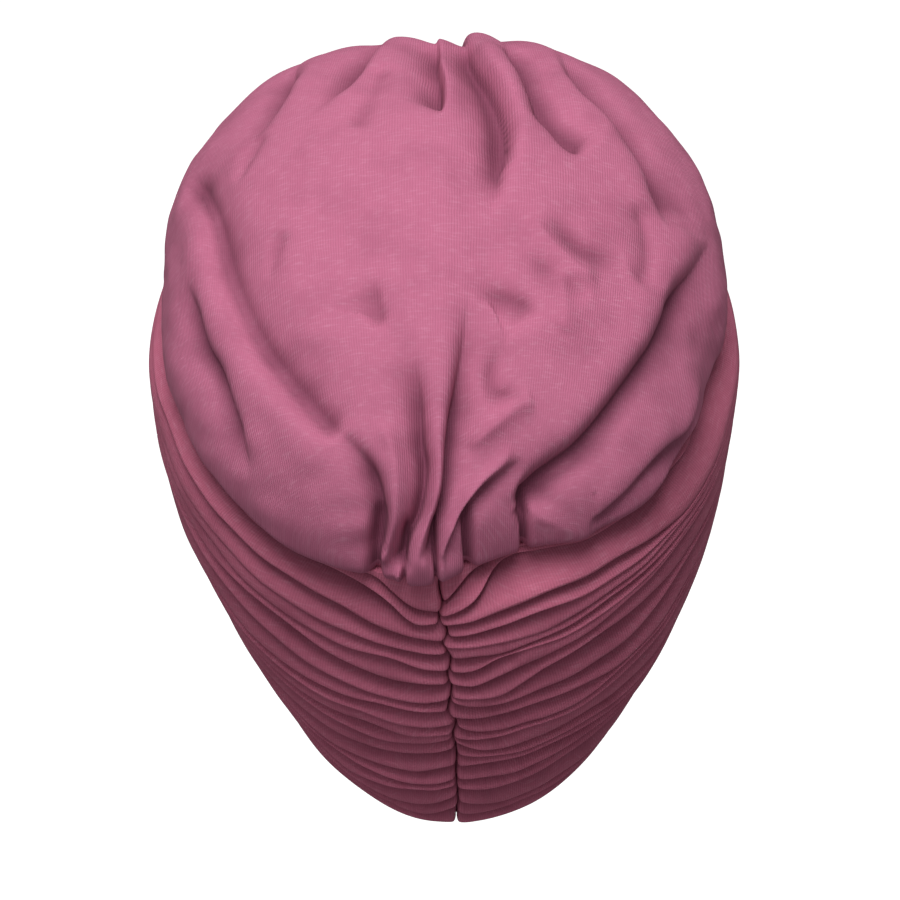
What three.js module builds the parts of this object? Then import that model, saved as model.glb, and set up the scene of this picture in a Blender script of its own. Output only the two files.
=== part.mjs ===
// A pre-tied jersey turban: a soft gathered crown sewn onto a wide ruched band,
// whose two halves meet in a gathered seam at the back and another at the front.
// Millimetres, +Z up, the wearer faces -Y and the wearer's left is +X.
// The origin is the centre of the head opening at the height of the brow.

import * as THREE from "three";

// Driving sizes of the band. Its front follows the crown's, so that they keep together.
const crownFrontReach = 88; // from the centre line to the crown's edge at the forehead
const bandHalfWidth = 89.1; // of one half at its widest, over the ears
const bandBackReach = 105; // from the centre line to the back of the head
const bandFrontAhead = 10; // how far the band stands out past the crown's edge there
const bandFrontReach = crownFrontReach + bandFrontAhead;
const napeDrop = 85; // how far the hem falls below the brow at the nape
const hemRise = 1.16; // how late the hem climbs from the nape to the brow

// Driving sizes of the crown, whose rounded edge hangs over the band
const crownHalfWidth = 84.5;
const crownBackReach = 106.6;
const crownHeight = 58.4; // of the dome over its widest line
const crownSideShift = 1; // the whole crown sits this far towards the wearer's left
const domeFullness = 2.07; // 2 is an ellipse, more is squarer
const frontSquareness = 2.2; // the same for the front of the plan
const edgeHeightBack = 48; // the crown's widest line above the brow
const edgeHeightSide = 59.5;
const edgeHeightFront = 68;
const rollRadius = 5; // of the crown's edge where it turns under

// Cloth and seams
const wall = 2; // doubled jersey
const clearance = 0.3;
const foldDepth = 5.2; // of the band's deepest pleat
const dentDepth = 7; // of the crown's deepest fold
const seamDip = 3.4; // how far the pleats dive in where they reach a seam
const seamDipReach = 4.5; // and over what length they do it
const seamThickness = 1.6; // of the sewn edge between the two halves
const seamSway = 1.1; // how far the back seam wanders from side to side
const shoulderHeight = 16; // of the band's rounded top under the crown

// How finely the cloth is cut into facets
const crownColumns = 66;
const crownRows = 12;
const rollRows = 3;
const bandColumns = 18;
const crowding = 0.27; // crowds the crown's facets towards the gathers
const degree = Math.PI / 180;

// The band's horizontal sections. level is a share of the height from the nape
// to the crown's edge at the front, and the rest are shares of the sizes above.
const bandSections = [
  { level: 0.0, width: 0.647, back: 0.835, front: 0.99, lean: -0.022 },
  { level: 0.137, width: 0.752, back: 0.899, front: 0.99, lean: -0.022 },
  { level: 0.294, width: 0.863, back: 0.942, front: 0.99, lean: -0.017 },
  { level: 0.49, width: 0.95, back: 0.991, front: 0.99, lean: 0.003 },
  { level: 0.686, width: 1.0, back: 1.001, front: 1.0, lean: 0.018 },
  { level: 0.85, width: 0.997, back: 0.99, front: 0.98, lean: 0.018 },
  { level: 1.0, width: 0.963, back: 0.955, front: 0.91, lean: 0.013 },
];

// The pleats of each half. The angle runs from the back seam, at 0, round to the
// front seam, at 180. Each column a.. holds the height of the pleat's lower lip
// there, as a share of the band's height, and depth is a share of foldDepth.
const stations = [0, 15, 35, 60, 100, 180];
const pleatsLeft = [
  { a0: 0.08, a15: 0.032, a35: 0.03, a60: 0.05, a100: 0.08, a180: 0.09, depth: 0.7 },
  { a0: 0.15, a15: 0.095, a35: 0.09, a60: 0.12, a100: 0.16, a180: 0.18, depth: 0.6 },
  { a0: 0.24, a15: 0.202, a35: 0.185, a60: 0.2, a100: 0.24, a180: 0.26, depth: 0.7 },
  { a0: 0.3, a15: 0.258, a35: 0.25, a60: 0.28, a100: 0.32, a180: 0.34, depth: 0.7 },
  { a0: 0.36, a15: 0.338, a35: 0.33, a60: 0.36, a100: 0.4, a180: 0.42, depth: 0.8 },
  { a0: 0.43, a15: 0.445, a35: 0.42, a60: 0.44, a100: 0.47, a180: 0.5, depth: 0.9 },
  { a0: 0.558, a15: 0.556, a35: 0.52, a60: 0.52, a100: 0.54, a180: 0.58, depth: 1.0 },
  { a0: 0.66, a15: 0.67, a35: 0.724, a60: 0.7, a100: 0.66, a180: 0.66, depth: 1.0 },
  { a0: 0.765, a15: 0.793, a35: 0.81, a60: 0.79, a100: 0.76, a180: 0.74, depth: 0.8 },
  { a0: 0.812, a15: 0.855, a35: 0.88, a60: 0.87, a100: 0.85, a180: 0.82, depth: 0.9 },
  { a0: 0.9, a15: 0.955, a35: 0.965, a60: 0.955, a100: 0.93, a180: 0.91, depth: 0.9 },
];
const pleatsRight = [
  { a0: 0.06, a15: 0.05, a35: 0.06, a60: 0.06, a100: 0.08, a180: 0.09, depth: 0.7 },
  { a0: 0.13, a15: 0.1, a35: 0.12, a60: 0.13, a100: 0.16, a180: 0.18, depth: 0.8 },
  { a0: 0.2, a15: 0.198, a35: 0.2, a60: 0.2, a100: 0.24, a180: 0.26, depth: 0.7 },
  { a0: 0.246, a15: 0.25, a35: 0.26, a60: 0.27, a100: 0.31, a180: 0.34, depth: 0.7 },
  { a0: 0.305, a15: 0.322, a35: 0.315, a60: 0.33, a100: 0.38, a180: 0.42, depth: 0.9 },
  { a0: 0.4, a15: 0.382, a35: 0.375, a60: 0.39, a100: 0.45, a180: 0.5, depth: 0.9 },
  { a0: 0.475, a15: 0.466, a35: 0.478, a60: 0.46, a100: 0.53, a180: 0.58, depth: 0.8 },
  { a0: 0.585, a15: 0.582, a35: 0.583, a60: 0.64, a100: 0.64, a180: 0.66, depth: 0.8 },
  { a0: 0.655, a15: 0.7, a35: 0.72, a60: 0.73, a100: 0.73, a180: 0.74, depth: 0.8 },
  { a0: 0.703, a15: 0.77, a35: 0.81, a60: 0.8, a100: 0.81, a180: 0.82, depth: 1.0 },
  { a0: 0.86, a15: 0.906, a35: 0.91, a60: 0.88, a100: 0.9, a180: 0.91, depth: 0.9 },
];

// The cloth of one pleat, from its lip down to the lip of the pleat below:
// down is a share of the way, and in a share of the pleat's depth.
const pleatProfile = [
  { down: 0.0, in: 0.3 },
  { down: 0.14, in: 1.0 },
  { down: 0.45, in: 0.35 },
  { down: 0.8, in: 0.0 },
];

// The crown's folds on its plan. x and y are shares of the crown's reach to the
// wearer's left and to the back, from one end of the fold past its middle to the
// other. depth is a share of dentDepth, below zero for a ridge. left and right
// are widths as shares of crownHalfWidth, seen from the first end.
const crownFolds = [
  { x0: 0.04, y0: -0.95, x1: 0.04, y1: -0.55, x2: 0.05, y2: -0.2, depth: 0.8, left: 0.05, right: 0.12 },
  { x0: 0.02, y0: -0.95, x1: -0.13, y1: -0.35, x2: -0.14, y2: 0.2, depth: 1.0, left: 0.06, right: 0.14 },
  { x0: -0.06, y0: -0.95, x1: -0.26, y1: -0.42, x2: -0.45, y2: -0.05, depth: 0.8, left: 0.14, right: 0.06 },
  { x0: -0.12, y0: -0.95, x1: -0.48, y1: -0.4, x2: -0.78, y2: 0.05, depth: 1.0, left: 0.3, right: 0.06 },
  { x0: 0.14, y0: -0.95, x1: 0.29, y1: -0.55, x2: 0.44, y2: -0.25, depth: 0.7, left: 0.06, right: 0.16 },
  { x0: 0.3, y0: -0.9, x1: 0.55, y1: -0.55, x2: 0.72, y2: -0.1, depth: 0.7, left: 0.07, right: 0.18 },
  { x0: 0.9, y0: -0.05, x1: 0.68, y1: 0.42, x2: 0.3, y2: 0.78, depth: 0.9, left: 0.16, right: 0.06 },
  { x0: 0.88, y0: 0.15, x1: 0.78, y1: 0.48, x2: 0.6, y2: 0.74, depth: 0.6, left: 0.07, right: 0.12 },
  { x0: -0.92, y0: 0.05, x1: -0.74, y1: 0.46, x2: -0.4, y2: 0.86, depth: 0.9, left: 0.07, right: 0.16 },
  { x0: 0.13, y0: 0.62, x1: 0.11, y1: 0.8, x2: 0.1, y2: 0.97, depth: 1.0, left: 0.09, right: 0.09 },
  { x0: -0.12, y0: 0.55, x1: -0.12, y1: 0.75, x2: -0.01, y2: 0.97, depth: 0.8, left: 0.14, right: 0.08 },
  { x0: 0.45, y0: 0.66, x1: 0.3, y1: 0.82, x2: 0.16, y2: 0.94, depth: 0.6, left: 0.12, right: 0.09 },
  { x0: -0.5, y0: 0.3, x1: -0.42, y1: 0.45, x2: -0.15, y2: 0.5, depth: 0.5, left: 0.14, right: 0.14 },
  { x0: -0.45, y0: 0.62, x1: -0.3, y1: 0.8, x2: -0.12, y2: 0.96, depth: 0.5, left: 0.12, right: 0.1 },
];
const foldSteps = 14; // points along each of the crown's folds
const foldFade = 0.22; // share of a fold's length over which each end fades
const foldKeel = 3; // how far from its middle line a fold takes on each side's width
const gatherNarrowing = 0.5; // how much narrower a fold is where it meets a gather

// Small tucks in the crown's edge over the back seam: angle from the back towards
// the wearer's left in degrees, depth as a share of dentDepth.
const edgeTucks = [
  { angle: 17, depth: 0.45 },
  { angle: 10, depth: 0.4 },
  { angle: 2, depth: 0.45 },
  { angle: -6, depth: 0.4 },
  { angle: -16, depth: 0.45 },
];
const tuckWidth = 3 * degree;

// How far the crown's edge is held in towards the seam, by angle round the head
// from the back: a positive angle is the wearer's left, and pull is a share of
// rollRadius, below zero where the cloth bulges.
const edgePull = [
  { angle: -180, pull: 0 },
  { angle: -81, pull: 0.1 },
  { angle: -70, pull: 0.5 },
  { angle: -58, pull: 0 },
  { angle: -31, pull: 0.4 },
  { angle: -18, pull: 1.6 },
  { angle: -6, pull: 1.0 },
  { angle: 2, pull: 0 },
  { angle: 20, pull: -0.4 },
  { angle: 30, pull: -0.6 },
  { angle: 60, pull: -0.5 },
  { angle: 85, pull: -0.2 },
  { angle: 114, pull: -0.4 },
  { angle: 180, pull: 0 },
];

const clamp = (v, low, high) => Math.min(high, Math.max(low, v));
const smooth = (v) => {
  const t = clamp(v, 0, 1);
  return t * t * (3 - 2 * t);
};
const signedPower = (v, power) => Math.sign(v) * Math.abs(v) ** power;

// A smooth curve through the rows (at, value), with at rising.
function curveThrough(at, value, x) {
  const last = at.length - 1;
  const slope = (i) => {
    const a = Math.max(i - 1, 0);
    const b = Math.min(i + 1, last);
    return (value[b] - value[a]) / (at[b] - at[a]);
  };
  let i = 0;
  while (i < last - 1 && x > at[i + 1]) i += 1;
  const span = at[i + 1] - at[i];
  const t = clamp((x - at[i]) / span, 0, 1);
  const t2 = t * t;
  const t3 = t2 * t;
  return (
    (2 * t3 - 3 * t2 + 1) * value[i] +
    (t3 - 2 * t2 + t) * span * slope(i) +
    (3 * t2 - 2 * t3) * value[i + 1] +
    (t3 - t2) * span * slope(i + 1)
  );
}
const column = (rows, name) => rows.map((row) => row[name]);

// The crown's widest line. The angle is measured from the back towards the
// wearer's left, and shrink draws the line in.
function crownEdge(angle, shrink = 0) {
  const c = Math.cos(angle);
  const s = Math.sin(angle);
  const turn = Math.atan2(s, c) / degree;
  const pull = rollRadius * curveThrough(column(edgePull, "angle"), column(edgePull, "pull"), turn);
  const power = c > 0 ? 1 : 2 / frontSquareness;
  const reach = c > 0 ? crownBackReach : crownFrontReach;
  const height = c > 0 ? edgeHeightBack : edgeHeightFront;
  return new THREE.Vector3(
    (crownHalfWidth - shrink - pull) * signedPower(s, power) + crownSideShift,
    (reach - shrink - pull) * signedPower(c, power),
    edgeHeightSide + (height - edgeHeightSide) * Math.abs(c),
  );
}

// The middle of the crown's plan, at the height of its widest line at the sides.
const crownMiddle = new THREE.Vector3(crownSideShift, 0, edgeHeightSide);

// A point of the smooth dome: rho is 0 at the top and 1 at the widest line.
function domePoint(angle, rho) {
  const edge = crownEdge(angle);
  const up = Math.max(0, 1 - rho ** domeFullness) ** (1 / domeFullness);
  return crownMiddle
    .clone()
    .lerp(edge, rho)
    .add(new THREE.Vector3(0, 0, crownHeight * up));
}

function domeNormal(angle, rho) {
  const step = 0.01;
  const r = clamp(rho, step, 1 - step / 10);
  const along = domePoint(angle, r + step / 20).sub(domePoint(angle, r - step / 2));
  const round = domePoint(angle + step, r).sub(domePoint(angle - step, r));
  return round.cross(along).normalize();
}

// The middle lines of the crown's folds as points on the dome.
const foldLines = crownFolds.map((fold) => {
  const points = [];
  for (let i = 0; i <= foldSteps; i += 1) {
    const u = i / foldSteps;
    const bend = 4 * u * (1 - u);
    const x = fold.x0 + (fold.x2 - fold.x0) * u + (fold.x1 - (fold.x0 + fold.x2) / 2) * bend;
    const y = fold.y0 + (fold.y2 - fold.y0) * u + (fold.y1 - (fold.y0 + fold.y2) / 2) * bend;
    points.push(domePoint(Math.atan2(x, y), Math.min(1, Math.hypot(x, y))));
  }
  return points;
});

// How far the cloth stands out from the dome at a point, for one fold: a groove
// with its own width on each side, which fades out at both ends and gets narrower
// towards the gathers at the front and the back.
function foldRelief(fold, line, point, normal) {
  let nearest = Infinity;
  let along = 0;
  let toLeft = 0;
  for (let i = 0; i < foldSteps; i += 1) {
    const piece = new THREE.Line3(line[i], line[i + 1]);
    const t = piece.closestPointToPointParameter(point, true);
    const offset = point.clone().sub(piece.at(t, new THREE.Vector3()));
    if (offset.length() < nearest) {
      nearest = offset.length();
      along = (i + t) / foldSteps;
      toLeft = piece.delta(new THREE.Vector3()).normalize().cross(offset).dot(normal);
    }
  }
  const toGather = Math.abs(point.y) / (point.y > 0 ? crownBackReach : crownFrontReach);
  const narrowing = 1 - gatherNarrowing * smooth((toGather - 0.3) / 0.6);
  const side = smooth(0.5 + toLeft / (2 * foldKeel));
  const width = crownHalfWidth * THREE.MathUtils.lerp(fold.right, fold.left, side) * narrowing;
  const fade = smooth(along / foldFade + 0.3) * smooth((1 - along) / foldFade + 0.1);
  return -dentDepth * fold.depth * fade * Math.exp(-((nearest / width) ** 1.5));
}

function crownRelief(angle, rho) {
  const point = domePoint(angle, rho);
  const normal = domeNormal(angle, rho);
  let relief = 0;
  crownFolds.forEach((fold, i) => {
    relief = Math.min(relief, foldRelief(fold, foldLines[i], point, normal));
  });
  const nearEdge = smooth((rho - 0.86) / 0.14);
  for (const tuck of edgeTucks) {
    const away = (angle - tuck.angle * degree) / tuckWidth;
    relief -= dentDepth * tuck.depth * nearEdge * Math.exp(-away * away);
  }
  // Shallow near the top, where the facets are narrow, and at the edge, which is sewn.
  const atTop = smooth(rho / 0.3);
  const deepest = THREE.MathUtils.lerp(1.4 * dentDepth, 0.4 * rollRadius, nearEdge);
  return -deepest * Math.tanh((-relief * atTop) / deepest);
}

// One vertical strip of the crown, from the top over the dome, round the rolled
// edge and back in to the seam. Each entry has a point and the way out of the cloth.
function crownStrip(angle) {
  const strip = [];
  for (let i = 1; i <= crownRows; i += 1) {
    const rho = Math.sin(((i / crownRows) * Math.PI) / 2) ** (2 / domeFullness);
    const out = domeNormal(angle, rho);
    const relief = crownRelief(angle, rho);
    strip.push({ point: domePoint(angle, rho).addScaledVector(out, relief), out });
  }
  const edge = strip[strip.length - 1];
  const flat = crownEdge(angle).sub(crownEdge(angle, 1)).normalize();
  const middle = edge.point.clone().addScaledVector(flat, -rollRadius);
  for (let i = 1; i <= rollRows; i += 1) {
    const beta = ((i / rollRows) * Math.PI) / 2;
    const out = flat.clone().multiplyScalar(Math.cos(beta));
    out.z = -Math.sin(beta);
    strip.push({ point: middle.clone().addScaledVector(out, rollRadius), out });
  }
  const seat = seamRing(angle);
  seat.z += clearance;
  strip.push({
    point: seat.addScaledVector(flat, -wall - clearance),
    out: new THREE.Vector3(0, 0, -1),
  });
  return strip;
}

// The line where the band's top edge carries the crown.
function seamRing(angle) {
  const ring = crownEdge(angle, rollRadius + clearance);
  ring.z -= rollRadius + clearance;
  return ring;
}

// A closed shell from a grid of outer points and the way out at each: the inner
// side lies one wall thickness further in. around closes the grid on itself.
function shellGeometry(rows, { around, pole }) {
  const outer = rows.map((row) => row.map((p) => p.point));
  const inner = rows.map((row) => row.map((p) => p.point.clone().addScaledVector(p.out, -wall)));
  const positions = [];
  const face = (a, b, c) => positions.push(...a.toArray(), ...b.toArray(), ...c.toArray());
  const quad = (a, b, c, d) => {
    face(a, b, c);
    face(a, c, d);
  };
  const last = rows.length - 1;
  const width = rows[0].length;
  const columns = around ? width : width - 1;
  for (let i = 0; i < last; i += 1)
    for (let j = 0; j < columns; j += 1) {
      const k = (j + 1) % width;
      quad(outer[i][j], outer[i][k], outer[i + 1][k], outer[i + 1][j]);
      quad(inner[i][j], inner[i + 1][j], inner[i + 1][k], inner[i][k]);
    }
  for (let j = 0; j < columns; j += 1) {
    const k = (j + 1) % width;
    quad(outer[last][j], outer[last][k], inner[last][k], inner[last][j]);
    if (pole) {
      const below = pole.clone().add(new THREE.Vector3(0, 0, -wall));
      face(pole, outer[0][k], outer[0][j]);
      face(below, inner[0][j], inner[0][k]);
    } else quad(outer[0][j], inner[0][j], inner[0][k], outer[0][k]);
  }
  if (!around)
    for (let i = 0; i < last; i += 1) {
      const j = width - 1;
      quad(outer[i][0], outer[i + 1][0], inner[i + 1][0], inner[i][0]);
      quad(outer[i][j], inner[i][j], inner[i + 1][j], outer[i + 1][j]);
    }
  const geometry = new THREE.BufferGeometry();
  geometry.setAttribute("position", new THREE.Float32BufferAttribute(positions, 3));
  geometry.computeVertexNormals();
  return geometry;
}

function crownGeometry() {
  const strips = [];
  for (let j = 0; j < crownColumns; j += 1) {
    const u = j / crownColumns;
    strips.push(crownStrip(2 * Math.PI * u - crowding * Math.sin(4 * Math.PI * u)));
  }
  const rows = strips[0].map((_, i) => strips.map((strip) => strip[i]));
  const top = domePoint(0, 0);
  top.z += crownRelief(0, 0);
  return shellGeometry(rows, { around: true, pole: top });
}

// The hem's height and the height of the band's top edge at an angle.
const hemHeight = (angle) => -napeDrop * (1 - ((1 - Math.cos(angle)) / 2) ** hemRise);
const topHeight = (angle) => seamRing(angle).z;

// A point of the smooth band. side is 1 for the wearer's left and -1 for the
// right, the angle runs from the back, and share rises from the hem to the top.
// inset moves the point in towards the head.
function bandPoint(side, angle, share, inset = 0) {
  const hem = hemHeight(angle);
  const top = topHeight(angle);
  const z = hem + (top - hem) * share;
  const level = (z + napeDrop) / (napeDrop + edgeHeightFront);
  const at = (name) => curveThrough(column(bandSections, "level"), column(bandSections, name), level);
  const c = Math.cos(angle);
  const reach = c > 0 ? bandBackReach * at("back") : bandFrontReach * at("front");
  const base = new THREE.Vector3(
    side * bandHalfWidth * at("width") * Math.sin(angle) + bandHalfWidth * at("lean"),
    reach * c,
    z,
  );
  const ring = seamRing(side * angle);
  ring.z = z;
  base.lerp(ring, smooth((z - top + shoulderHeight) / shoulderHeight) ** 2);
  return base.addScaledVector(bandOut(side, angle), -inset);
}

// The level way out of the band at an angle.
function bandOut(side, angle) {
  return new THREE.Vector3(
    (side * Math.sin(angle)) / bandHalfWidth,
    Math.cos(angle) / bandBackReach,
    0,
  ).normalize();
}

// How far the back seam wanders sideways at a height on the band.
const seamCentre = (share) => seamSway * Math.sin(share * 23) * Math.sin(share * Math.PI);

// One half of the band: its rows follow the lips of the pleats, so that each
// pleat is a lip, a groove under it, the slope out of the groove and a crest.
function bandGeometry(side, pleats) {
  const rows = [];
  const addRow = (shareAt, insetAt) => {
    const row = [];
    for (let j = 0; j <= bandColumns; j += 1) {
      const u = j / bandColumns;
      const spread = u - (0.75 * Math.sin(2 * Math.PI * u)) / (2 * Math.PI);
      const angle = Math.PI * spread;
      const share = shareAt(angle / degree);
      const sway = seamCentre(share) * Math.exp(-(angle / degree) / 8);
      const away = Math.min(angle, Math.PI - angle) * bandBackReach;
      const dip = seamDip * Math.exp(-away / seamDipReach);
      const point = bandPoint(side, angle, share, insetAt(angle / degree) + dip);
      point.x += sway + side * (seamThickness / 2 + clearance);
      row.push({ point, out: bandOut(side, angle) });
    }
    rows.push(row);
  };
  const lipAt = (pleat) => (angle) =>
    curveThrough(stations, stations.map((s) => pleat["a" + s]), angle);
  const sorted = [...pleats].reverse();
  addRow(() => 1, () => 0);
  sorted.forEach((pleat, i) => {
    const lip = lipAt(pleat);
    const below = i + 1 < sorted.length ? lipAt(sorted[i + 1]) : () => 0;
    for (const { down, in: inward } of pleatProfile)
      addRow(
        (angle) => lip(angle) + (below(angle) - lip(angle)) * down,
        () => foldDepth * pleat.depth * inward,
      );
  });
  addRow(() => 0, () => 0);
  if (side < 0) rows.forEach((row) => row.reverse());
  return shellGeometry(rows, { around: false, pole: null });
}

// The gathered edge that is sewn between the two halves, at the back or front.
function seamGeometry(angle) {
  const steps = 26;
  const back = Math.cos(angle) > 0;
  const rows = [];
  for (let i = 0; i <= steps; i += 1) {
    const share = 1 - i / steps;
    const row = [];
    for (const side of [-1, 1]) {
      const point = bandPoint(1, angle, share, seamDip);
      point.x += (back ? side : -side) * (seamThickness / 2) + (back ? seamCentre(share) : 0);
      row.push({ point, out: bandOut(1, angle) });
    }
    rows.push(row);
  }
  return shellGeometry(rows, { around: false, pole: null });
}

const jersey = (colour) =>
  new THREE.MeshStandardMaterial({ color: colour, roughness: 0.92, metalness: 0 });

function piece(name, geometry, material) {
  const mesh = new THREE.Mesh(geometry, material);
  mesh.name = name;
  return mesh;
}

const turban = new THREE.Group();
turban.add(
  piece("crown", crownGeometry(), jersey(0xae6680)),
  piece("band_left", bandGeometry(1, pleatsLeft), jersey(0x84495c)),
  piece("band_right", bandGeometry(-1, pleatsRight), jersey(0x84495c)),
  piece("back_seam", seamGeometry(0), jersey(0x57303c)),
  piece("front_seam", seamGeometry(Math.PI), jersey(0x57303c)),
);

export default turban;
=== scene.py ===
# %% [markdown]
# # A pre-tied jersey turban
# The turban is two things sewn together: a soft round crown, gathered at the
# forehead and at the back of the head, and a wide band under it, whose two halves
# are ruched into a stack of lying pleats between a back seam and a front seam.
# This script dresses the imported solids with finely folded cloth, then lights it
# and sets the camera. All sizes in the text are millimetres, and the meshes are
# written in metres.

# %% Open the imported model
from collections import namedtuple
from functools import partial

import bpy
import numpy as np
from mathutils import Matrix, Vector


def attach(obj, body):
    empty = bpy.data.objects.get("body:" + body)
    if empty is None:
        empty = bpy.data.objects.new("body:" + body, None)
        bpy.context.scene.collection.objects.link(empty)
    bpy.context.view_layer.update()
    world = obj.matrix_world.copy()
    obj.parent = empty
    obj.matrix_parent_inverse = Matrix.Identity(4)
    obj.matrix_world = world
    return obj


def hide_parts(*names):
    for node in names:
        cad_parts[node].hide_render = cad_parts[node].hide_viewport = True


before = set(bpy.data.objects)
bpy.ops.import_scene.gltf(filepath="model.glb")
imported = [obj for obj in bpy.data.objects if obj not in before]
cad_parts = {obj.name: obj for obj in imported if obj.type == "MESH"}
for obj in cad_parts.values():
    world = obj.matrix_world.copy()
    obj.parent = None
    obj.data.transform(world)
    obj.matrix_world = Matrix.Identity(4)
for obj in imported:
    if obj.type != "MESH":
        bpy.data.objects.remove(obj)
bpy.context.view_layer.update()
print("packed pieces:", sorted(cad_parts))

# %% [markdown]
# ## Small curves
# A hand-cut pattern is a few measured points joined by a smooth line. The same is
# done here: a short table is turned into a curve with a Hermite spline, whose slope
# at each point is that of the line between its two neighbours. It could be a
# Bezier curve object instead, but a function of an array is easier to reuse.


# %% Smooth curves through short tables
def smooth(share):
    """Rises from 0 to 1 without a corner: three squares minus two cubes."""
    t = np.clip(share, 0.0, 1.0)
    return t * t * (3.0 - 2.0 * t)


def curve_through(at, value, x):
    """A cubic through the points (at, value), read at every x of an array."""
    at, value = np.asarray(at, float), np.asarray(value, float)
    number = np.arange(len(at))
    before, after = np.maximum(number - 1, 0), np.minimum(number + 1, len(at) - 1)
    slope = (value[after] - value[before]) / (at[after] - at[before])
    i = np.clip(np.searchsorted(at, x, side="left") - 1, 0, len(at) - 2)
    span = at[i + 1] - at[i]
    t = np.clip((x - at[i]) / span, 0.0, 1.0)
    t2, t3 = t * t, t * t * t
    return (
        (2 * t3 - 3 * t2 + 1) * value[i]
        + (t3 - 2 * t2 + t) * span * slope[i]
        + (3 * t2 - 2 * t3) * value[i + 1]
        + (t3 - t2) * span * slope[i + 1]
    )


def signed_power(v, power):
    """The power of the size of v, with the sign of v kept."""
    return np.sign(v) * np.abs(v) ** power


print("a curve through 0, 1, 0 reads", curve_through((0, 1, 2), (0, 1, 0), np.array([0.5])))

# %% [markdown]
# ## The sizes of the turban
# The wearer faces -Y and the wearer's left is +X. Angles run round the head from
# the back of the head, where the photograph is taken from. The crown's widest line
# is an oval that is higher at the forehead than at the back.

# %% Sizes in millimetres
DEGREE = np.pi / 180
CROWN = {"half_width": 84.5, "back": 106.6, "front": 88.0, "height": 58.4, "shift": 1.0}
CROWN |= {"fullness": 2.07, "square_front": 2.2, "roll": 5.0}
CROWN |= {"edge_back": 48.0, "edge_side": 59.5, "edge_front": 68.0}
BAND = {"half_width": 89.1, "back": 105.0, "front": 98.0, "nape": 85.0, "rise": 1.16}
SEAM = {"dip": 2.6, "fall": 0.55, "wide_dip": 0.8, "wide_fall": 6.0, "half_gap": 0.12}
WALL = 1.6
GAP = 0.3
# How far the crown's edge is held in towards the seam, in shares of the roll.
EDGE_ANGLE = (-180, -81, -70, -58, -31, -18, -6, 2, 20, 30, 60, 85, 114, 180)
EDGE_PULL = (0, 0.1, 0.5, 0, 0.4, 1.6, 1.0, 0, -0.4, -0.6, -0.5, -0.2, -0.4, 0)
print("crown", CROWN["half_width"] * 2, "wide, band", BAND["half_width"] * 2, "wide")

# %% [markdown]
# ## The crown without its folds
# Under the folds the crown is a plain dome. Its height over the widest line is a
# superellipse: a number a little over 2 makes it slightly fuller than a ball.


# %% The smooth dome
def crown_edge(angle, shrink=0.0):
    """The crown's widest line: an oval with its own reach to the back and front."""
    c, s = np.cos(angle), np.sin(angle)
    turn = np.arctan2(s, c) / DEGREE
    pull = CROWN["roll"] * curve_through(EDGE_ANGLE, EDGE_PULL, turn)
    power = np.where(c > 0, 1.0, 2.0 / CROWN["square_front"])
    reach = np.where(c > 0, CROWN["back"], CROWN["front"])
    height = np.where(c > 0, CROWN["edge_back"], CROWN["edge_front"])
    x = (CROWN["half_width"] - shrink - pull) * signed_power(s, power) + CROWN["shift"]
    y = (reach - shrink - pull) * signed_power(c, power)
    z = CROWN["edge_side"] + (height - CROWN["edge_side"]) * np.abs(c)
    return np.stack(np.broadcast_arrays(x, y, z), axis=-1)


def dome(angle, rho):
    """From the middle out to the widest line by rho, and up by the superellipse."""
    middle = np.array([CROWN["shift"], 0.0, CROWN["edge_side"]])
    full = CROWN["fullness"]
    up = np.maximum(0.0, 1.0 - rho**full) ** (1.0 / full)
    point = middle + (crown_edge(angle) - middle) * rho[..., None]
    point[..., 2] += CROWN["height"] * up
    return point


def unit(vector):
    """The same direction with length 1."""
    return vector / np.maximum(np.linalg.norm(vector, axis=-1, keepdims=True), 1e-9)


def dome_out(angle, rho):
    """The way out of the dome: the step round it crossed with the step down it."""
    step = 0.01
    r = np.clip(rho, step, 1.0 - step / 10)
    down = dome(angle, r + step / 20) - dome(angle, r - step / 2)
    round_it = dome(angle + step, r) - dome(angle - step, r)
    return unit(np.cross(round_it, down))


print("top of the dome", dome(np.zeros(1), np.zeros(1))[0].round(1))

# %% [markdown]
# ## The crown's folds
# The gathers pull the loose cloth into long folds that run out from the forehead
# and from the back seam. Each row of the table is one fold on the plan: points in
# shares of the crown's reach, x to the wearer's left and y to the back. The numbers
# after them are how far it sinks, or rises below zero, and how far it spreads to the
# left and right as seen by someone walking along it. Lift raises a ridge beside the
# steep side, and start and end are the shares of its length over which it fades. A
# fold could be sculpted by hand, but a row can be read and changed.

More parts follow.
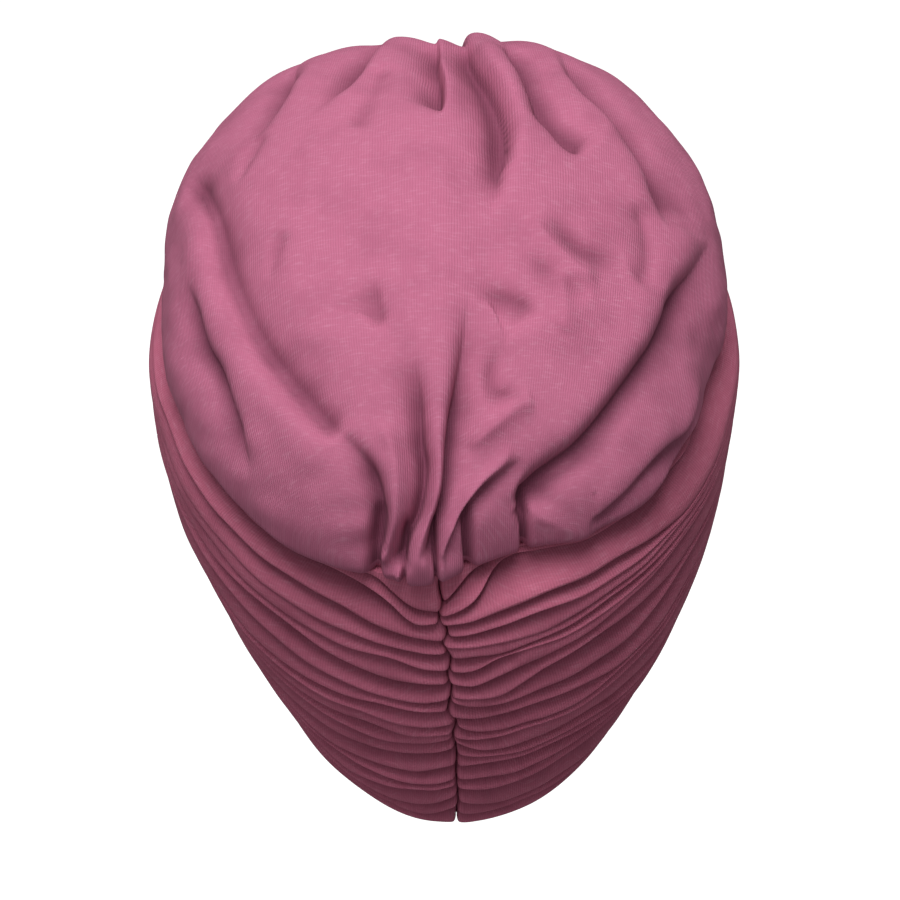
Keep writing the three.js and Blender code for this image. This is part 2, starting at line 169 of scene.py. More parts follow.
# %% The table of folds
Fold = namedtuple("Fold", "at deep left right lift shift start end", defaults=(0.0, 0.0, 0.18, 0.22))
FOLDS = [
    # Folds of the forehead gather, walked from the front to the back
    Fold(
        "0.05,-1 0.03,-.65 0.03,-.5 0.02,-.39 0.02,-.28 0.02,-.2 0.03,-.11",
        9.0, 1.4, 7.0, lift=0.9, start=0, end=0.4,
    ),
    Fold(
        "-.02,-1 -.06,-.63 -.09,-.48 -.13,-.37 -.17,-.25 -.2,-.12 -.2,.01 -.18,.09 -.16,.18 -.13,.25",
        9.5, 1.9, 8.5, lift=1.1, start=0, end=0.42,
    ),
    Fold(
        "-.12,-1 -.22,-.61 -.26,-.46 -.3,-.33 -.34,-.19 -.39,-.12 -.43,-.07 -.49,-.03",
        7.5, 10, 2.8, lift=0.8, start=0.15, end=0.15,
    ),
    Fold(
        "-.25,-.98 -.4,-.66 -.5,-.44 -.61,-.29 -.68,-.18 -.74,-.07 -.77,.03 -.78,.12",
        8.5, 13, 4.0, lift=0.9, start=0.35, end=0.25,
    ),
    Fold(
        "0.1,-1 0.21,-.72 0.28,-.55 0.35,-.37 0.42,-.26 0.47,-.19",
        5.5, 2.6, 8, start=0, end=0.6,
    ),
    Fold("0.2,-.49 0.23,-.36 0.28,-.19 0.33,-.09", 2.4, 6, 4),
    Fold(
        "0.3,-.93 0.5,-.69 0.55,-.51 0.6,-.33 0.66,-.21 0.71,-.13",
        6.0, 3.5, 11, lift=0.6, start=0.4, end=0.6,
    ),
    Fold("0.62,-.2 0.68,-.1 0.73,0", 1.8, 3, 6),
    Fold("0.54,.21 0.57,.29 0.6,.36", 1.5, 3, 5),
    # Long folds that run down the two sides into the back gather
    Fold(
        "0.93,-.26 0.89,-.1 0.84,.04 0.78,.24 0.66,.48 0.55,.62 0.43,.74 0.34,.81",
        6.5, 10, 3.0, lift=1.4, shift=3.0, start=0.15, end=0.12,
    ),
    Fold("0.88,.2 0.82,.4 0.77,.49 0.7,.63 0.64,.75", 4.5, 2.8, 9, lift=0.8),
    Fold("0.27,.38 0.24,.44 0.23,.48 0.22,.52 0.26,.55", 2.8, 2.6, 8, start=0.4, end=0.3),
    Fold(
        "0.42,.70 0.36,.76 0.30,.81 0.255,.85 0.232,.885 0.218,.92 0.21,.95 0.222,.965",
        6.5, 3.2, 8, start=0.6, end=0,
    ),
    Fold(
        "0.238,.754 0.18,.814 0.162,.872 0.162,.919 0.167,.945 0.188,.965 0.207,.975",
        -2.2, 3.5, 3.5, end=0,
    ),
    Fold(
        "0.118,.53 0.116,.623 0.106,.672 0.091,.738 0.08,.826 "
        "0.068,.868 0.071,.907 0.091,.949 0.128,.972 0.15,.985",
        9.0, 2.8, 6.0, lift=0.6, start=0.6, end=0,
    ),
    Fold(
        "-.09,.46 -.079,.559 -.064,.664 -.047,.762 -.029,.833 "
        "-.016,.903 0.008,.943 0.034,.966 0.052,.989",
        8.5, 6.5, 2.4, lift=0.9, start=0.5, end=0,
    ),
    Fold(
        "-.25,.85 -.189,.89 -.121,.919 -.058,.948 -.017,.973 0.009,.993",
        -2.4, 3, 2.6, end=0,
    ),
    Fold(
        "-.3,.86 -.254,.884 -.185,.911 -.123,.935 -.075,.957 -.034,.979 -.009,.993",
        4.5, 6, 2.6, start=0.5, end=0,
    ),
    Fold(
        "-.94,-.02 -.911,.072 -.85,.228 -.789,.343 -.728,.446 -.661,.545 -.586,.639 -.519,.715 "
        "-.452,.782 -.37,.85 -.316,.892 -.275,.927 -.245,.949",
        7.0, 15, 3.2, lift=1.0, shift=1.5, start=0.25, end=0.12,
    ),
    Fold(
        "-.92,.38 -.836,.543 -.747,.65 -.65,.747 -.591,.799 -.536,.841 -.491,.867",
        4.0, 7, 2.2, lift=0.8, shift=1.5,
    ),
    Fold("-.513,.776 -.424,.85 -.361,.893 -.319,.927", 3.5, 5, 3),
    Fold("-.38,.853 -.333,.89 -.308,.92 -.279,.943", 4.5, 4, 2, end=0),
    # Small hollows and swells between them
    Fold(
        "-.11,.54 -.15,.51 -.21,.5 -.26,.5 -.3,.51 -.35,.54",
        3.8, 3.5, 7, start=0.4, end=0.4,
    ),
    Fold(
        "-.195,.617 -.179,.667 -.166,.718 -.187,.751 -.245,.755 -.299,.739",
        3.6, 3.2, 6, start=0.4, end=0.4,
    ),
    Fold("-.32,.74 -.277,.761 -.194,.807 -.125,.838 -.083,.863", -1.8, 3, 4),
    Fold("-.34,.19 -.38,.24 -.47,.29 -.57,.29 -.68,.27", 3.2, 4, 7, start=0.4, end=0.4),
    Fold("-.26,.33 -.31,.37 -.38,.4 -.45,.42 -.5,.44", 2.8, 3.5, 7, start=0.4, end=0.4),
    Fold("-.28,.22 -.33,.28 -.4,.33 -.46,.36 -.53,.36", -2.0, 4, 4),
    Fold("-.38,.36 -.4,.43 -.4,.51 -.38,.55", -1.6, 4, 4),
    Fold("-.65,.08 -.7,.17 -.71,.27 -.65,.36", 2.4, 5, 5),
]
# The folds are pressed flat where the cloth is pulled tight over the forehead.
TIGHT = {"at": 0.72, "reach": 0.09, "hold": 0.70}
print(len(FOLDS), "folds in the crown")

# %% [markdown]
# ## How a fold shapes the cloth
# For every point of the cloth the nearest point of the fold's line is found. The
# cloth sinks most on the line and comes back up on each side over that side's own
# width. Where two folds meet, the deeper one wins softly, as it does in real cloth,
# instead of both depths being added.


# %% The relief of the folds
def fold_line(text, steps=44):
    """The row's points joined by a smooth curve and laid on the dome."""
    spots = np.array([[float(n) for n in pair.split(",")] for pair in text.split()])
    at = np.linspace(0.0, 1.0, len(spots))
    u = np.linspace(0.0, 1.0, steps)
    x, y = curve_through(at, spots[:, 0], u), curve_through(at, spots[:, 1], u)
    return dome(np.arctan2(x, y), np.minimum(1.0, np.hypot(x, y)))


def beside(points, out, line):
    """Signed distance to the line, above zero to its left, and the share along it."""
    best = np.full(len(points), 1e9)
    along, left = np.zeros(len(points)), np.zeros(len(points))
    for i in range(len(line) - 1):
        step = line[i + 1] - line[i]
        t = np.clip((points - line[i]) @ step / (step @ step), 0.0, 1.0)
        offset = points - line[i] - t[:, None] * step
        away = np.linalg.norm(offset, axis=1)
        near = away < best
        side = np.einsum("ij,ij->i", np.cross(out, unit(step)), offset)
        best = np.where(near, away, best)
        along = np.where(near, (i + t) / (len(line) - 1), along)
        left = np.where(near, side, left)
    return best, left, along


def one_fold(points, out, fold):
    """Depth and ridge of one fold: deep times the fading of the distance over width."""
    best, left, along = beside(points, out, fold_line(fold.at))
    left = left - fold.shift
    best = np.maximum(best, np.abs(left)) if fold.shift else best
    keel = smooth(0.5 + left / 3.0)
    toward = np.abs(points[:, 1]) / np.where(points[:, 1] > 0, CROWN["back"], CROWN["front"])
    narrow = 1.0 - 0.35 * smooth((toward - 0.55) / 0.45)
    width = (fold.right + (fold.left - fold.right) * keel) * narrow
    brow = (points[:, 1] / CROWN["front"] + TIGHT["at"]) / TIGHT["reach"]
    tight = 1.0 - TIGHT["hold"] * np.exp(-(brow**2))
    fade = tight * (smooth(along / fold.start) if fold.start else 1.0)
    fade = fade * (smooth((1.0 - along) / fold.end) if fold.end else 1.0)
    sink = fold.deep * fade * np.exp(-((best / width) ** 1.5))
    steep = min(fold.left, fold.right)
    sign = 1.0 if fold.left < fold.right else -1.0
    crest = (sign * left - 2.4 * steep - 0.5) / (1.3 * steep + 1.5)
    ridge = fold.lift * fade * np.exp(-(crest**2)) * (best < 40)
    return sink, ridge


def relief_of(points, out):
    """Deepest fold softly, then the ridges on top."""
    deep, high = np.zeros(len(points)), np.zeros(len(points))
    for fold in FOLDS:
        sink, ridge = one_fold(points, out, fold)
        deep += np.maximum(sink, 0.0) ** 3
        high += np.minimum(sink, 0.0) * -1.0 + ridge
    return high - np.cbrt(deep)


# %% [markdown]
# ## Unevenness
# Cloth that is worn is never quite even. A sum of slow waves in different
# directions, with a fixed seed, gives it small lumps without a texture image.


# %% Slow waves
def waves(points, seed, longest, shortest, count=14):
    """A sum of sine waves through space, each with its own way, length and start."""
    pick = np.random.default_rng(seed)
    way = unit(pick.normal(size=(count, 3)))
    length = pick.uniform(shortest, longest, count)
    phase = pick.uniform(0.0, 2 * np.pi, count)
    turn = 2 * np.pi * (points @ way.T) / length + phase
    return np.sin(turn).sum(axis=-1) / np.sqrt(count)


print("waves at the origin", waves(np.zeros((1, 3)), 3, 40.0, 15.0).round(3))

# %% [markdown]
# ## Columns and rows for the crown's cloth
# The outside is a fine grid: columns go round the head and are closer together at
# the two gathers, and rows go from the top over the dome, round the rolled edge and
# in to the seam. The inside only has to be a quiet lining, so it is a grid with a
# quarter of the rows and columns, laid under the deepest cloth near each point.

# %% Columns, rows and the tucks of the crown's edge
COLUMNS, ROWS, ROLL_ROWS, COARSE = 560, 136, 12, 4
column = np.arange(COLUMNS) / COLUMNS
turn_round = 2 * np.pi * column - 0.27 * np.sin(4 * np.pi * column)
row = np.arange(1, ROWS + 1) / ROWS
rho_row = np.sin(row * np.pi / 2) ** (2 / CROWN["fullness"])
# Small tucks where the edge is gathered: angle, depth and half width in degrees.
TUCKS = [(14.0, 8.0, 1.2), (8.2, 4.5, 0.6), (1.8, 4.5, 0.5), (-5.2, 5.0, 0.9), (-17.2, 5.0, 0.9)]
TUCKS += [(174, 3.0, 1.5), (182, 3.4, 1.3), (189, 2.6, 1.5), (163, 2.0, 2.0), (200, 2.2, 2.0)]


def tucks(angle, rho):
    """Narrow pinches of the edge that die out a short way up the dome."""
    total = np.zeros(np.broadcast(angle, rho).shape)
    for middle, deep, half in TUCKS:
        away = (np.mod(angle / DEGREE - middle + 180, 360) - 180) / half
        total += deep * np.exp(-away * away) * smooth((rho - 0.95 + 0.01 * half) / 0.05)
    return total


# %% [markdown]
# ## The folded cloth
# Every point of the dome moves in or out by the folds, the slow waves and the tucks.
# A limit with a soft knee, the hyperbolic tangent, keeps crossing folds from going
# deeper than jersey can, and it is tighter at the edge, where the cloth is sewn.

# %% Lay the cloth on the dome
DEEPEST_FOLD, DEEPEST_AT_EDGE, HIGHEST_RIDGE = 14.0, 9.0, 2.6
angle_grid, rho_grid = np.meshgrid(turn_round, rho_row)
base = dome(angle_grid, rho_grid).reshape(-1, 3)
base_out = dome_out(angle_grid, rho_grid).reshape(-1, 3)
relief = relief_of(base, base_out)
relief += 0.60 * waves(base, 5, 60.0, 22.0) + 0.20 * waves(base, 6, 20.0, 9.0)
relief = relief.reshape(angle_grid.shape) - tucks(angle_grid, rho_grid)
near_edge = smooth((rho_grid - 0.93) / 0.07)
deepest = DEEPEST_FOLD + (DEEPEST_AT_EDGE - DEEPEST_FOLD) * near_edge
sunk, raised = -deepest * np.tanh(-relief / deepest), HIGHEST_RIDGE * np.tanh(relief / HIGHEST_RIDGE)
relief = np.where(relief < 0, sunk, raised)
dome_points = base.reshape(ROWS, COLUMNS, 3) + base_out.reshape(ROWS, COLUMNS, 3) * relief[..., None]
print("relief from", relief.min().round(2), "to", relief.max().round(2))

# %% [markdown]
# ## The rolled edge
# The crown is fuller than the band, so its edge rolls under in a quarter circle and
# is sewn a little inside. The rows of the roll keep the folds that reach the edge.

# %% Turn the edge under and bring it in to the seam
SEAT_DEPTH = 2.0
flat = unit(crown_edge(turn_round) - crown_edge(turn_round, 1.0))
flat[:, 2] = 0.0
flat = unit(flat)
bend = np.arange(1, ROLL_ROWS + 1) / ROLL_ROWS * np.pi / 2
way = flat[None] * np.cos(bend)[:, None, None]
way[..., 2] -= np.sin(bend)[:, None]
middle = dome_points[-1] - flat * CROWN["roll"]
roll_points = middle[None] + way * CROWN["roll"]
seam_ring = crown_edge(turn_round, CROWN["roll"] + GAP)
seam_ring[:, 2] -= CROWN["roll"] + GAP
seat = seam_ring - flat * (SEAT_DEPTH + GAP)
seat[:, 2] += GAP
crown_outer = np.concatenate([dome_points, roll_points, seat[None]])
print("outer grid of the crown", crown_outer.shape)


# %% [markdown]
# ## From grids to a closed piece
# A piece of cloth has two faces and a wall between them, so that it is solid in
# any view. The fine outer grid and the coarse inner one are sewn along their edges
# with a strip of triangles that takes several fine steps to one coarse step. Each
# point also gets a crease shade from 0 to 1, painted shade for how far it lies
# hidden in a fold.

# %% Faces of grids and strips
def numbered(shape, start=0):
    """A grid of point numbers that counts up from start, row by row."""
    return start + np.arange(shape[0] * shape[1]).reshape(shape)


def grid_faces(number, around=False, flip=False):
    """Two triangles for each square between neighbouring rows and columns."""
    right = np.roll(number, -1, axis=1) if around else number[:, 1:]
    left = number if around else number[:, :-1]
    a, b, c, d = left[:-1], right[:-1], right[1:], left[1:]
    tri = np.concatenate([np.stack([a, b, c], -1).reshape(-1, 3), np.stack([a, c, d], -1).reshape(-1, 3)])
    return tri[:, ::-1] if flip else tri


def strip_faces(fine, coarse, closed=False):
    """Triangles from each fine step to the nearest coarse point, and back."""
    steps = len(fine) if closed else len(fine) - 1
    factor = steps // (len(coarse) if closed else len(coarse) - 1)
    i = np.arange(steps)
    near = (i + factor // 2) // factor
    first = np.stack([fine[i], fine[(i + 1) % len(fine)], coarse[near % len(coarse)]], -1)
    j = np.arange(steps // factor)
    half = (j * factor + factor // 2) % len(fine)
    second = np.stack([coarse[j], fine[half], coarse[(j + 1) % len(coarse)]], -1)
    return np.concatenate([first, second])


def closed_faces(fine, coarse):
    """Both faces of an open sheet, from their point numbers, and its four edges."""
    return np.concatenate(
        [
            grid_faces(fine),
            grid_faces(coarse, flip=True),
            strip_faces(fine[-1], coarse[-1]),
            strip_faces(fine[0], coarse[0])[:, ::-1],
            strip_faces(fine[:, 0], coarse[:, 0]),
            strip_faces(fine[:, -1], coarse[:, -1])[:, ::-1],
        ]
    )


def widest(values, up, across, around):
    """The largest value within a few rows and columns of each point of a grid."""
    found = values
    for shift in range(1, up + 1):
        padded = np.pad(values, ((shift, shift), (0, 0)), mode="edge")
        found = np.maximum(found, np.maximum(padded[: len(values)], padded[2 * shift :]))
    mode = "wrap" if around else "edge"
    width, result = values.shape[1], found
    for shift in range(1, across + 1):
        padded = np.pad(found, ((0, 0), (shift, shift)), mode=mode)
        result = np.maximum(result, np.maximum(padded[:, :width], padded[:, 2 * shift :]))
    return result


def blurred(values, up, across, around):
    """The mean over a few rows and columns of each point, taken twice."""
    mode = "wrap" if around else "edge"
    for _ in range(2):
        padded = np.pad(values, ((up, up), (0, 0)), mode="edge")
        total = np.cumsum(np.pad(padded, ((1, 0), (0, 0))), axis=0)
        values = (total[2 * up + 1 :] - total[: -2 * up - 1]) / (2 * up + 1)
        padded = np.pad(values, ((0, 0), (across, across)), mode=mode)
        total = np.cumsum(np.pad(padded, ((0, 0), (1, 0))), axis=1)
        values = (total[:, 2 * across + 1 :] - total[:, : -2 * across - 1]) / (2 * across + 1)
    return values


def volume_of(points, faces):
    """Six times the volume is the sum of the corner products: above zero if outward."""
    a, b, c = points[faces[:, 0]], points[faces[:, 1]], points[faces[:, 2]]
    return float(np.einsum("ij,ij->i", a, np.cross(b, c)).sum() / 6.0)


def cloth_piece(name, points, faces, chart, crease_shade):
    """Puts millimetre points, faces, a cloth chart and its painted crease shade in a new mesh."""
    mesh = bpy.data.meshes.new(name)
    mesh.vertices.add(len(points))
    mesh.loops.add(faces.size)
    mesh.polygons.add(len(faces))
    mesh.vertices.foreach_set("co", (np.asarray(points) * 0.001).astype(np.float32).ravel())
    mesh.polygons.foreach_set("loop_start", np.arange(len(faces), dtype=np.int32) * 3)
    mesh.loops.foreach_set("vertex_index", faces.astype(np.int32).ravel())
    mesh.polygons.foreach_set("use_smooth", np.full(len(faces), True))
    mesh.update(calc_edges=True)
    layer = mesh.uv_layers.new(name="cloth")
    layer.data.foreach_set("uv", chart[faces.ravel()].astype(np.float32).ravel())
    # The crease attribute is painted shade: from 0 to 1, how much the colour is darkened in a fold.
    depth = mesh.attributes.new("crease_shade", "FLOAT", "POINT")
    full = np.zeros(len(points))
    full[: crease_shade.size] = np.clip(crease_shade, 0.0, 1.0).ravel()
    depth.data.foreach_set("value", full.astype(np.float32))
    mesh.validate()
    piece = bpy.data.objects.new(name, mesh)
    bpy.context.scene.collection.objects.link(piece)
    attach(piece, "root")
    print(name, len(faces), "triangles,", round(volume_of(points, faces) / 1000, 1), "cubic cm")
    return piece


# %% [markdown]
# ## The crown piece and its chart
# The chart lays the crown flat: one number across the head and one from front to
# back, in units of 100 mm. The knitted ribs run from front to back, so the ribs of
# the material follow the second number. Both draw together towards the gathers. The
# crease shade is painted shade: the cloth is painted darker where it lies deeper
# than the mean of what is around it.

# %% Build the crown
lining_rows = np.arange(COARSE, ROWS + 1, COARSE) - 1
coarse_relief = widest(np.maximum(-relief, 0.0), COARSE, COARSE, True)[lining_rows][:, ::COARSE]
lining_angle, lining_rho = angle_grid[lining_rows][:, ::COARSE], rho_grid[lining_rows][:, ::COARSE]
lining_out = dome_out(lining_angle, lining_rho)
lining = dome(lining_angle, lining_rho) - lining_out * (coarse_relief + WALL)[..., None]
seat_lining = seat[::COARSE] - flat[::COARSE] * 0.2
seat_lining[:, 2] += WALL
roll_lining = 0.5 * (lining[-1] + seat_lining) - flat[::COARSE] * 1.0
crown_inner = np.concatenate([lining, roll_lining[None], seat_lining[None]])
top_point = dome(np.zeros(1), np.zeros(1)) + [[0, 0, float(relief[0].mean())]]
top_lining = top_point - [[0, 0, WALL + 1.0]]
crown_points = np.concatenate(
    [crown_outer.reshape(-1, 3), crown_inner.reshape(-1, 3), top_point, top_lining]
)
outer = numbered(crown_outer.shape[:2])
inner = numbered(crown_inner.shape[:2], outer.size)
pole = np.full(COLUMNS, outer.size + inner.size)
cap = np.stack([pole, np.roll(outer[0], -1), outer[0]], -1)
cap_in = np.stack([pole[::COARSE] + 1, inner[0], np.roll(inner[0], -1)], -1)
crown_faces = np.concatenate(
    [
        grid_faces(outer, around=True),
        grid_faces(inner, around=True, flip=True),
        strip_faces(outer[-1], inner[-1], closed=True),
        cap,
        cap_in,
    ]
)


def crown_chart(points):
    """Arc lengths across and along a ball that is drawn in towards the gathers."""
    across = np.clip((points[:, 0] - CROWN["shift"]) / CROWN["half_width"], -1.05, 1.05)
    reach = np.where(points[:, 1] > 0, CROWN["back"], CROWN["front"])
    along = np.clip(points[:, 1] / reach, -1.05, 1.05)
    u = np.arcsin(np.clip(across / np.sqrt(1 - 0.5 * along**2), -1, 1) * 0.93) * 96.0
    v = np.arcsin(np.clip(along / np.sqrt(1 - 0.2 * across**2), -1, 1) * 0.93) * 108.0
    return np.stack([u, v], -1) * 0.01


# Painted shade: the crown's colour is darkened in its hollows and deep folds.
hollow = blurred(relief, 7, 9, True) - relief
crown_crease_shade = (hollow - 0.15) / 3.0 + 0.06 * np.maximum(-relief - 2.0, 0.0)
crown_piece = cloth_piece("crown_cloth", crown_points, crown_faces, crown_chart(crown_points), crown_crease_shade)
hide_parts("crown")

# %% [markdown]
# ## The band without its pleats
# Seen from above each level of the band is an oval. It is widest over the ears and
# narrow at the nape, where it follows the neck. The hem climbs from the nape to the
# forehead, and the top edge follows the seam under the crown.

# %% The smooth band
LEVEL = (0.0, 0.137, 0.294, 0.49, 0.686, 0.85, 1.0)
WIDTH = (0.647, 0.752, 0.863, 0.95, 1.0, 0.997, 0.963)
BACK = (0.835, 0.899, 0.942, 0.991, 1.001, 0.99, 0.955)
FRONT = (0.99, 0.99, 0.99, 0.99, 1.0, 0.98, 0.91)
LEAN = (-0.022, -0.022, -0.017, 0.003, 0.018, 0.018, 0.013)


def hem_height(angle):
    """The nape's drop, less a power of how far round to the forehead it is."""
    return -BAND["nape"] * (1 - ((1 - np.cos(angle)) / 2) ** BAND["rise"])


def band_ring(angle):
    """The line where the band's top edge carries the crown."""
    ring = crown_edge(angle, CROWN["roll"] + GAP)
    ring[..., 2] -= CROWN["roll"] + GAP
    return ring


def band_out(side, angle):
    """The level way out of the band."""
    x, y = side * np.sin(angle) / BAND["half_width"], np.cos(angle) / BAND["back"]
    return unit(np.stack(np.broadcast_arrays(x, y, 0.0 * x), -1))


def band_base(side, angle, share):
    """The oval of a level, drawn to the seam line over its top 16 mm."""
    ring = band_ring(side * angle)
    hem = hem_height(angle)
    z = hem + (ring[..., 2] - hem) * share
    level = (z + BAND["nape"]) / (BAND["nape"] + CROWN["edge_front"])
    c = np.cos(angle)
    back = BAND["back"] * curve_through(LEVEL, BACK, level)
    front = BAND["front"] * curve_through(LEVEL, FRONT, level)
    x = side * BAND["half_width"] * curve_through(LEVEL, WIDTH, level) * np.sin(angle)
    x = x + BAND["half_width"] * curve_through(LEVEL, LEAN, level)
    point = np.stack([x, np.where(c > 0, back, front) * c, z], -1)
    ring_here = ring.copy()
    ring_here[..., 2] = z
    mix = smooth((z - ring[..., 2] + 16.0) / 16.0)[..., None] ** 2
    return point + (ring_here - point) * mix


print("hem at the nape and ear", hem_height(0.0), round(float(hem_height(np.pi / 2)), 1))

# %% [markdown]
# ## The pleats of the band
# Each half is gathered along its two seams, so its cloth lies in pleats that start
# close together at a seam and open out round the head. A row of the table is the
# lower lip of one pleat: its height at ten places round the half, as a share of the
# band's height, and how deep the groove under it is at the same places.

# %% Tables of the pleats
STATIONS = (0, 5, 10, 15, 20, 30, 40, 55, 100, 180)
PLEATS_LEFT = """
.90 .915 .950 .985 .990 .992 .993 .993 .990 .985 | 1 1 1 .6 .2 .2 .2 .2 .2 .2
.868 .872 .925 .955 .965 .968 .970 .970 .960 .955 | .6 .7 .9 1 1 .9 .8 .7 .6 .6
.807 .816 .840 .860 .882 .895 .900 .915 .900 .900 | 1 1 1 .9 .9 .8 .7 .6 .6 .8
.765 .765 .778 .790 .799 .812 .825 .835 .850 .850 | 1 .9 .8 .7 .5 .15 .1 .2 .4 .7
.705 .715 .735 .740 .742 .755 .770 .785 .800 .800 | 1 .6 .4 .4 .4 .4 .4 .4 .5 .7
.660 .658 .660 .668 .680 .712 .732 .715 .720 .745 | 1 1 1 1 1 1.2 1.2 1 .8 .9
.600 .587 .585 .590 .597 .605 .620 .652 .660 .690 | .9 .9 .5 .5 .5 .5 .5 .5 .5 .7
.555 .555 .555 .556 .547 .527 .520 .530 .580 .635 | .8 .8 .8 .9 1 1 .8 .8 .7 .8
.500 .487 .488 .495 .498 .485 .475 .480 .530 .585 | .7 .6 .2 .15 .15 .2 .3 .4 .5 .7
.455 .450 .445 .450 .453 .435 .425 .430 .480 .535 | .3 .1 .2 .9 1 1 .6 .4 .5 .7
.435 .415 .400 .387 .384 .387 .380 .385 .430 .485 | .8 .5 .4 .4 .4 .4 .4 .5 .5 .7
.390 .365 .345 .335 .325 .313 .300 .300 .380 .435 | .9 .8 .7 .7 .7 .7 .7 .7 .6 .7
.310 .290 .267 .255 .247 .225 .215 .235 .330 .385 | .9 .8 .7 .7 .7 .7 .7 .7 .6 .7
.245 .225 .210 .205 .200 .195 .185 .190 .280 .335 | .9 .7 .7 .7 .7 .7 .7 .7 .6 .7
.215 .203 .190 .170 .148 .115 .120 .140 .225 .280 | .7 .6 .6 .6 .6 .6 .6 .6 .6 .7
.165 .125 .105 .090 .080 .072 .080 .100 .170 .225 | .9 .8 .7 .7 .7 .7 .6 .6 .6 .7
.100 .065 .040 .035 .045 .035 .030 .050 .110 .165 | .9 .8 .7 .7 .7 .7 .6 .6 .6 .7
"""
PLEATS_RIGHT = """
.925 .975 .990 .992 .993 .993 .993 .993 .990 .985 | 1 .8 .5 .2 .2 .2 .2 .2 .2 .2
.885 .920 .968 .985 .985 .980 .975 .970 .960 .955 | 1 1 .8 .4 .3 .3 .4 .5 .6 .6
.860 .875 .893 .905 .911 .913 .900 .860 .900 .900 | 1 1 1 1 1 1 .9 .6 .6 .8
.825 .830 .848 .865 .868 .860 .860 .852 .850 .855 | 1 1 1 .8 .5 .2 .3 .3 .5 .7
.790 .790 .795 .800 .800 .825 .828 .843 .830 .830 | .2 .1 .1 .1 .2 .5 .5 .4 .4 .6
.752 .753 .757 .770 .780 .797 .807 .803 .790 .790 | 1 1 1 1 1 1 1 .9 .8 .8
.703 .705 .743 .752 .757 .765 .775 .785 .770 .770 | 1 1 .7 .1 .1 .1 .1 .2 .3 .6
.660 .655 .675 .700 .712 .735 .758 .772 .750 .750 | 1 1 .9 .8 .7 .6 .4 .3 .3 .6
.610 .605 .610 .640 .668 .690 .685 .680 .700 .710 | .4 .1 .4 .8 .9 .9 .9 .8 .7 .7
.595 .573 .573 .580 .585 .585 .583 .640 .640 .665 | 1 .8 .8 .8 .8 .8 .9 1.2 .9 .8
.530 .520 .530 .533 .533 .520 .495 .500 .570 .620 | .9 .9 .8 .8 .7 .7 .6 .6 .6 .7
.490 .465 .463 .468 .457 .460 .485 .475 .520 .575 | .9 .8 .7 .7 .6 .6 .6 .6 .6 .7
.438 .430 .434 .445 .440 .435 .440 .440 .475 .530 | .6 .6 .6 .2 .1 .1 .2 .3 .4 .7
.420 .382 .377 .380 .385 .385 .360 .365 .430 .485 | .9 .9 .9 .9 .9 1.1 1 .8 .7 .7
.360 .350 .345 .345 .345 .335 .310 .300 .380 .440 | .7 .5 .4 .4 .4 .4 .4 .5 .6 .7
.305 .315 .320 .323 .322 .303 .280 .275 .330 .390 | .9 .9 .9 .9 .9 .9 .8 .8 .7 .7
.245 .246 .247 .250 .255 .250 .238 .240 .285 .340 | .9 .7 .7 .7 .7 .7 .7 .7 .6 .7
.200 .198 .197 .198 .200 .200 .195 .200 .235 .290 | .9 .7 .7 .7 .7 .7 .7 .7 .6 .7
.130 .115 .100 .090 .088 .085 .068 .070 .150 .220 | .9 .7 .7 .7 .7 .7 .7 .7 .6 .7
.060 .050 .045 .050 .058 .045 .030 .030 .070 .120 | .8 .8 .8 .8 .6 .4 .4 .4 .5 .6
"""
print(PLEATS_LEFT.count("|"), "pleats on the left half and", PLEATS_RIGHT.count("|"), "on the right")

# %% [markdown]
# ## One pleat in section
# Going down from a lip, the cloth turns in under it, reaches the bottom of the
# groove at once, comes out slowly over the next pleat and curls in again at the
# next lip. The section is the same ten points for every pleat, stretched between
# its two lips, so the fine rows of the grid always lie along the lips. The painted
# crease shade is fullest under the lip. DOWN is the share of the way to the next lip.

# %% The section and its depth
DOWN = np.array([0.0, 0.004, 0.05, 0.12, 0.22, 0.34, 0.50, 0.68, 0.84, 0.94])
IN_HERE = np.array([0.0, 0.66, 1.0, 0.98, 0.86, 0.68, 0.44, 0.19, 0.03, 0.0])
IN_NEXT = np.array([0.0, 0.0, 0.0, 0.0, 0.0, 0.0, 0.0, 0.0, 0.0, 0.05])
# Painted shade down the section, darkest just under each lip.
CREASE_SHADE_HERE = np.array([0.25, 1.0, 1.0, 1.0, 0.92, 0.72, 0.46, 0.20, 0.0, 0.0])
LIP_IN = 0.16
DEEPEST_PLEAT = 7.6
HEM_TURN = 1.2
BAND_HEIGHT = 150.0
BAND_COLUMNS = 401
band_share = np.linspace(0.0, 1.0, BAND_COLUMNS)
band_angle = np.pi * (band_share - 0.72 * np.sin(2 * np.pi * band_share) / (2 * np.pi))


def numbers(text):
    """The numbers of one row of a table."""
    return np.array([float(n) for n in text.split()])


def along_half(text):
    """A table row as a smooth curve over the columns of the half."""
    return curve_through(STATIONS, numbers(text), band_angle / DEGREE)


# The back seam wanders from side to side as the pleats push against each other.
SWAY_SHARE = (0, 0.03, 0.12, 0.25, 0.365, 0.45, 0.49, 0.54, 0.58, 0.64)
SWAY_SHARE += (0.68, 0.715, 0.757, 0.79, 0.83, 0.875, 0.92, 0.965, 1)
SWAY = (0, 0, -0.5, 0, -0.5, 0, -1.6, 0.6, 0, -1.25)
SWAY += (0, -1.25, -1.25, 0.6, -0.9, 1.6, 0.6, 2, 1.5)
SWAY_FADE = 3.0 * DEGREE


def seam_centre(share):
    """How far the back seam wanders sideways at a height on the band."""
    return curve_through(SWAY_SHARE, SWAY, share)


